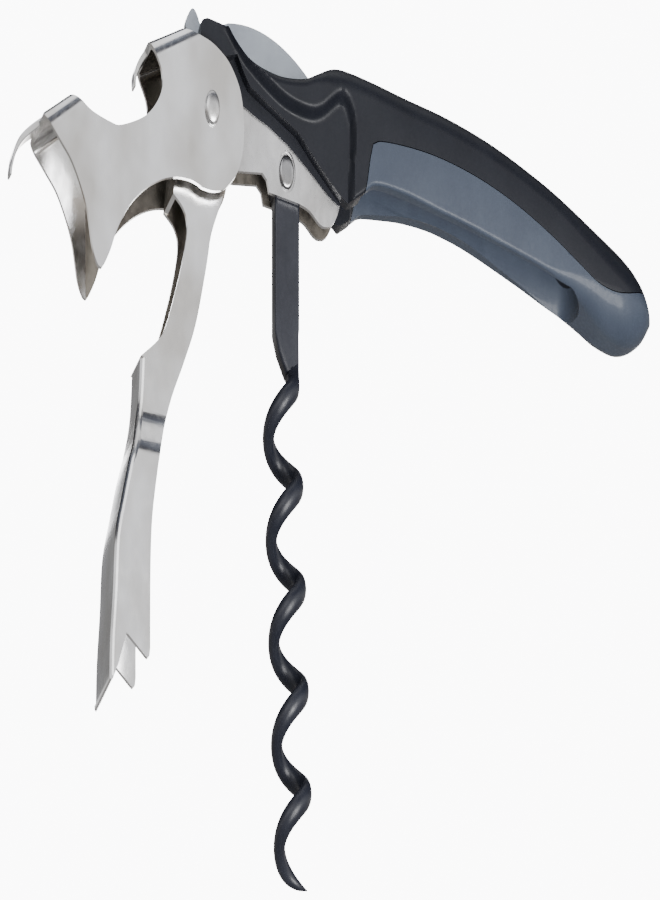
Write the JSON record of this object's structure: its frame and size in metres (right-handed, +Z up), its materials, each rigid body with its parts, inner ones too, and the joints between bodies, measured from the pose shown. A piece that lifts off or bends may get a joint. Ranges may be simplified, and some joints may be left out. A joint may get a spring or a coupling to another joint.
{
  "type": "lever corkscrew",
  "caption": "Double-lever waiter's corkscrew with coated worm, forked and boot levers, cap lifter, foil blade and soft-grip handle.",
  "frame": {"origin": "centre of the bounding box of the open tool, in the middle plane of its thickness", "axes": "+X along the handle towards its tail, +Z up with the worm pointing down, +Y through the thickness"},
  "size_m": [0.156, 0.0144, 0.0842],
  "materials": {
    "polished_steel": "nickel-plated sheet steel, satin flat faces and polished bends",
    "black_shell": "black moulded plastic with a soft sheen",
    "soft_grip": "slate grey soft-touch plastic",
    "worm_coating": "charcoal non-stick coating",
    "spring_steel": "plain ground steel",
    "brass": "plain turned brass",
    "blade_steel": "satin ground blade steel"
  },
  "bodies": {
    "handle": {"handle_shell_front": "black_shell", "handle_shell_back": "black_shell", "soft_grip": "soft_grip", "shell_pin_1": "spring_steel", "shell_pin_2": "spring_steel", "shell_pin_3": "spring_steel", "liner_back": "polished_steel", "liner_front": "polished_steel", "tang_pin": "spring_steel", "frame_pin": "spring_steel", "detent_spring": "spring_steel", "lever_rivet": "polished_steel", "worm_rivet": "polished_steel", "knife_pin": "spring_steel", "lever_washer_back": "spring_steel", "lever_washer_front": "spring_steel", "knife_washer_back": "brass", "knife_washer_front": "brass"},
    "boot": {"boot_lever": "polished_steel"},
    "long_arm": {"long_lever": "polished_steel"},
    "screw": {"worm": "worm_coating", "worm_bush": "brass"},
    "knife": {"foil_blade": "blade_steel"}
  },
  "joints": [
    {"name": "boot_fold", "type": "hinge", "parent": "handle", "child": "boot", "pos_m": [-0.02961, 0, 0.03095], "axis": [0, -1, 0], "range_deg": [0, 147]},
    {"name": "long_fold", "type": "hinge", "parent": "handle", "child": "long_arm", "pos_m": [-0.02961, 0, 0.03095], "axis": [0, -1, 0], "range_deg": [0, 97]},
    {"name": "worm_fold", "type": "hinge", "parent": "handle", "child": "screw", "pos_m": [-0.01041, 0, 0.02725], "axis": [0, -1, 0], "range_deg": [0, 81.2]},
    {"name": "knife_fold", "type": "hinge", "parent": "handle", "child": "knife", "pos_m": [-0.02841, 0, 0.03825], "axis": [0, -1, 0], "range_deg": [0, 140]}
  ],
  "couplings": [
    {"joint": "long_fold", "follows": "boot_fold", "ratio": 0.65986},
    {"joint": "worm_fold", "follows": "boot_fold", "ratio": 0.55238}
  ]
}
